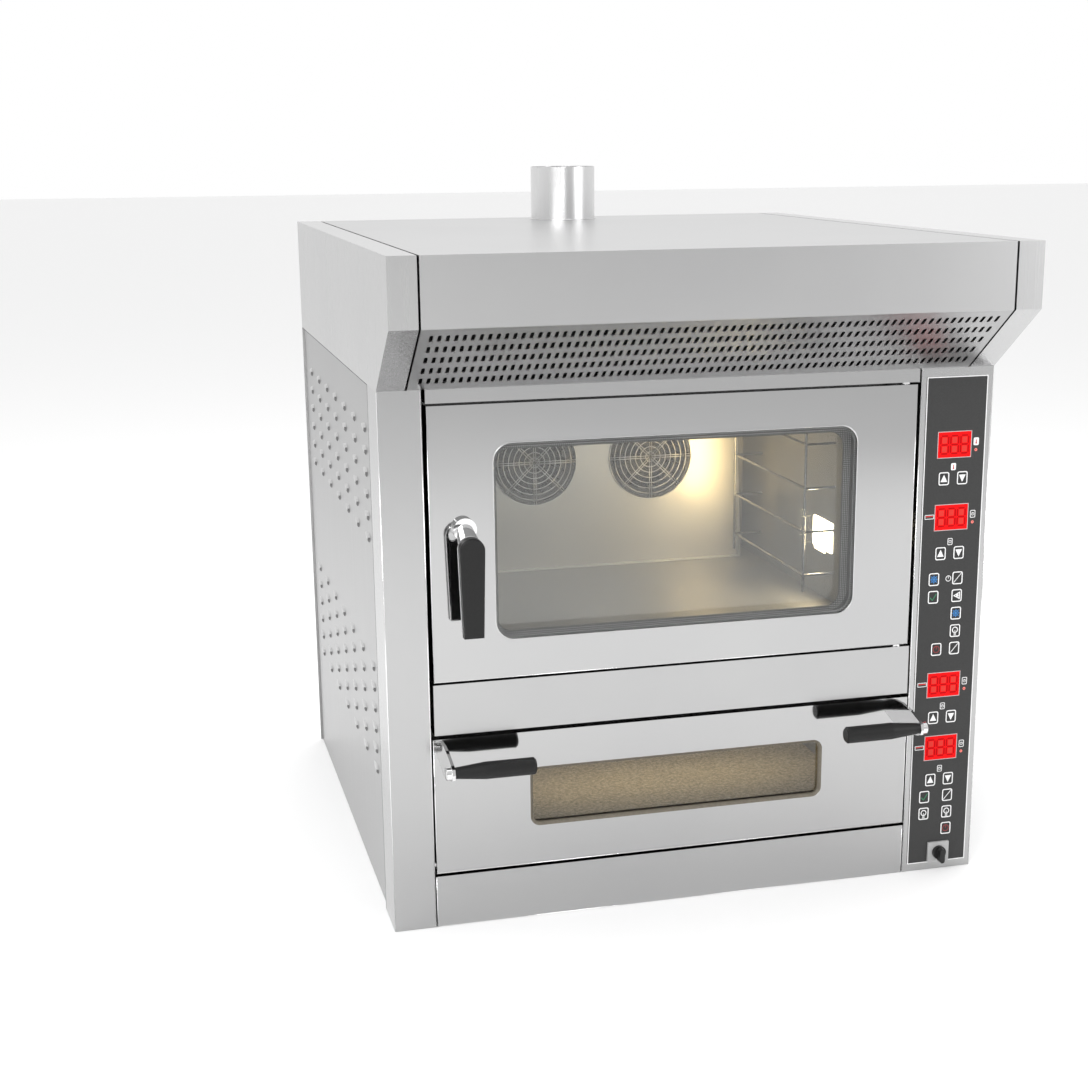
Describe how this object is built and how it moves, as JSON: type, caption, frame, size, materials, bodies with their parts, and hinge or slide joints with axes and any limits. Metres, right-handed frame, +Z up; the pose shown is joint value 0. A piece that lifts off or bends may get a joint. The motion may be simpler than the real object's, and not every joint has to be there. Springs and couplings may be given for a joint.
{
  "type": "combination bakery oven",
  "caption": "Free-standing bakery oven: a glass-doored convection oven above a drop-door stone deck oven, with an overhanging extraction hood, a flue collar and a control column.",
  "frame": {"origin": "middle of the overall footprint, on the floor", "axes": "+X to the right, seen from the front; +Y to the rear; +Z up; the doors face -Y"},
  "size_m": [1.03, 1.151, 1.202],
  "materials": {
    "casing_steel": "satin",
    "door_steel": "satin",
    "flue_steel": "satin",
    "galvanised": "galvanised",
    "chamber_steel": "satin",
    "wire_chrome": "polished",
    "wheel_steel": "satin",
    "motor_paint": "semi-gloss",
    "element_steel": "heat-darkened",
    "lamp_glass": "frosted",
    "stone": null,
    "wool": "fibrous",
    "overlay_film": "satin film",
    "key_film": "satin film",
    "display_black": "gloss",
    "board_green": "satin",
    "switch_grey": "satin",
    "knob_black": "gloss",
    "pin_steel": "turned",
    "gasket_rubber": "matt",
    "door_glass": "clear, grey tint",
    "handle_chrome": "polished",
    "grip_black": "satin"
  },
  "bodies": {
    "casing": {"base_pan": "galvanised", "left_side_panel": "casing_steel", "right_side_panel": "casing_steel", "rear_panel": "galvanised", "left_front_column": "casing_steel", "control_column": "casing_steel", "front_frame": "casing_steel", "lower_panel": "casing_steel", "hood_cheeks": "casing_steel", "hood_canopy": "casing_steel", "hood_grille": "casing_steel", "flue_collar": "flue_steel", "oven_chamber": "chamber_steel", "air_baffle": "chamber_steel", "fan_guards": "wire_chrome", "fan_motors": "motor_paint", "heating_elements": "element_steel", "tray_racks": "wire_chrome", "oven_lamp": "lamp_glass", "deck_chamber": "chamber_steel", "deck_stone": "stone", "insulation": "wool", "control_overlay": "overlay_film", "displays": "display_black", "controller_board": "board_green", "switch_plate": "switch_grey", "hinge_pins": "pin_steel", "door_gasket": "gasket_rubber"},
    "oven_door": {"door_shell": "door_steel", "door_glass": "door_glass"},
    "door_lever": {"handle_lever": "handle_chrome", "handle_grip": "grip_black"},
    "deck_door": {"deck_door_shell": "door_steel", "deck_door_glass": "door_glass", "deck_handle_arms": "handle_chrome", "deck_handle_grips": "grip_black"},
    "left_fan": {"fan_wheel_left": "wheel_steel"},
    "right_fan": {"fan_wheel_right": "wheel_steel"},
    "main_switch": {"main_switch_knob": "knob_black"},
    "oven_temperature_up_key": {"key_oven_temperature_up": "key_film"},
    "oven_temperature_down_key": {"key_oven_temperature_down": "key_film"},
    "oven_time_up_key": {"key_oven_time_up": "key_film"},
    "oven_time_down_key": {"key_oven_time_down": "key_film"},
    "deck_top_heat_up_key": {"key_deck_top_heat_up": "key_film"},
    "deck_top_heat_down_key": {"key_deck_top_heat_down": "key_film"},
    "deck_base_heat_up_key": {"key_deck_base_heat_up": "key_film"},
    "deck_base_heat_down_key": {"key_deck_base_heat_down": "key_film"},
    "steam_more_key": {"key_steam_more": "key_film"},
    "steam_off_key": {"key_steam_off": "key_film"},
    "oven_start_key": {"key_oven_start": "key_film"},
    "fan_speed_key": {"key_fan_speed": "key_film"},
    "steam_pulse_key": {"key_steam_pulse": "key_film"},
    "oven_light_key": {"key_oven_light": "key_film"},
    "oven_power_key": {"key_oven_power": "key_film"},
    "oven_cancel_key": {"key_oven_cancel": "key_film"},
    "deck_start_key": {"key_deck_start": "key_film"},
    "deck_cancel_key": {"key_deck_cancel": "key_film"},
    "deck_light_key": {"key_deck_light": "key_film"},
    "hood_light_key": {"key_hood_light": "key_film"},
    "deck_power_key": {"key_deck_power": "key_film"}
  },
  "joints": [
    {"name": "oven_door_hinge", "type": "hinge", "parent": "casing", "child": "oven_door", "pos_m": [0.362, -0.4185, 0.64], "axis": [0, 0, 1], "range_deg": [0, 115]},
    {"name": "door_lever_turn", "type": "hinge", "parent": "oven_door", "child": "door_lever", "pos_m": [-0.3845, -0.4305, 0.668], "axis": [0, 1, 0], "range_deg": [-90, 0]},
    {"name": "deck_door_hinge", "type": "hinge", "parent": "casing", "child": "deck_door", "pos_m": [-0.03, -0.4185, 0.1057], "axis": [1, 0, 0], "range_deg": [0, 90]},
    {"name": "left_fan_spin", "type": "hinge", "parent": "casing", "child": "left_fan", "pos_m": [-0.1435, 0.1695, 0.668], "axis": [0, 1, 0], "continuous": true},
    {"name": "right_fan_spin", "type": "hinge", "parent": "casing", "child": "right_fan", "pos_m": [0.0835, 0.1695, 0.668], "axis": [0, 1, 0], "continuous": true},
    {"name": "main_switch_turn", "type": "hinge", "parent": "casing", "child": "main_switch", "pos_m": [0.452, -0.436, 0.033], "axis": [0, 1, 0], "range_deg": [0, 90]},
    {"name": "oven_temperature_up_press", "type": "slide", "parent": "casing", "child": "oven_temperature_up_key", "axis": [0, 1, 0], "range_m": [0, 0.0005], "stiffness_N_per_m": 800},
    {"name": "oven_temperature_down_press", "type": "slide", "parent": "casing", "child": "oven_temperature_down_key", "axis": [0, 1, 0], "range_m": [0, 0.0005], "stiffness_N_per_m": 800},
    {"name": "oven_time_up_press", "type": "slide", "parent": "casing", "child": "oven_time_up_key", "axis": [0, 1, 0], "range_m": [0, 0.0005], "stiffness_N_per_m": 800},
    {"name": "oven_time_down_press", "type": "slide", "parent": "casing", "child": "oven_time_down_key", "axis": [0, 1, 0], "range_m": [0, 0.0005], "stiffness_N_per_m": 800},
    {"name": "deck_top_heat_up_press", "type": "slide", "parent": "casing", "child": "deck_top_heat_up_key", "axis": [0, 1, 0], "range_m": [0, 0.0005], "stiffness_N_per_m": 800},
    {"name": "deck_top_heat_down_press", "type": "slide", "parent": "casing", "child": "deck_top_heat_down_key", "axis": [0, 1, 0], "range_m": [0, 0.0005], "stiffness_N_per_m": 800},
    {"name": "deck_base_heat_up_press", "type": "slide", "parent": "casing", "child": "deck_base_heat_up_key", "axis": [0, 1, 0], "range_m": [0, 0.0005], "stiffness_N_per_m": 800},
    {"name": "deck_base_heat_down_press", "type": "slide", "parent": "casing", "child": "deck_base_heat_down_key", "axis": [0, 1, 0], "range_m": [0, 0.0005], "stiffness_N_per_m": 800},
    {"name": "steam_more_press", "type": "slide", "parent": "casing", "child": "steam_more_key", "axis": [0, 1, 0], "range_m": [0, 0.0005], "stiffness_N_per_m": 800},
    {"name": "steam_off_press", "type": "slide", "parent": "casing", "child": "steam_off_key", "axis": [0, 1, 0], "range_m": [0, 0.0005], "stiffness_N_per_m": 800},
    {"name": "oven_start_press", "type": "slide", "parent": "casing", "child": "oven_start_key", "axis": [0, 1, 0], "range_m": [0, 0.0005], "stiffness_N_per_m": 800},
    {"name": "fan_speed_press", "type": "slide", "parent": "casing", "child": "fan_speed_key", "axis": [0, 1, 0], "range_m": [0, 0.0005], "stiffness_N_per_m": 800},
    {"name": "steam_pulse_press", "type": "slide", "parent": "casing", "child": "steam_pulse_key", "axis": [0, 1, 0], "range_m": [0, 0.0005], "stiffness_N_per_m": 800},
    {"name": "oven_light_press", "type": "slide", "parent": "casing", "child": "oven_light_key", "axis": [0, 1, 0], "range_m": [0, 0.0005], "stiffness_N_per_m": 800},
    {"name": "oven_power_press", "type": "slide", "parent": "casing", "child": "oven_power_key", "axis": [0, 1, 0], "range_m": [0, 0.0005], "stiffness_N_per_m": 800},
    {"name": "oven_cancel_press", "type": "slide", "parent": "casing", "child": "oven_cancel_key", "axis": [0, 1, 0], "range_m": [0, 0.0005], "stiffness_N_per_m": 800},
    {"name": "deck_start_press", "type": "slide", "parent": "casing", "child": "deck_start_key", "axis": [0, 1, 0], "range_m": [0, 0.0005], "stiffness_N_per_m": 800},
    {"name": "deck_cancel_press", "type": "slide", "parent": "casing", "child": "deck_cancel_key", "axis": [0, 1, 0], "range_m": [0, 0.0005], "stiffness_N_per_m": 800},
    {"name": "deck_light_press", "type": "slide", "parent": "casing", "child": "deck_light_key", "axis": [0, 1, 0], "range_m": [0, 0.0005], "stiffness_N_per_m": 800},
    {"name": "hood_light_press", "type": "slide", "parent": "casing", "child": "hood_light_key", "axis": [0, 1, 0], "range_m": [0, 0.0005], "stiffness_N_per_m": 800},
    {"name": "deck_power_press", "type": "slide", "parent": "casing", "child": "deck_power_key", "axis": [0, 1, 0], "range_m": [0, 0.0005], "stiffness_N_per_m": 800}
  ]
}
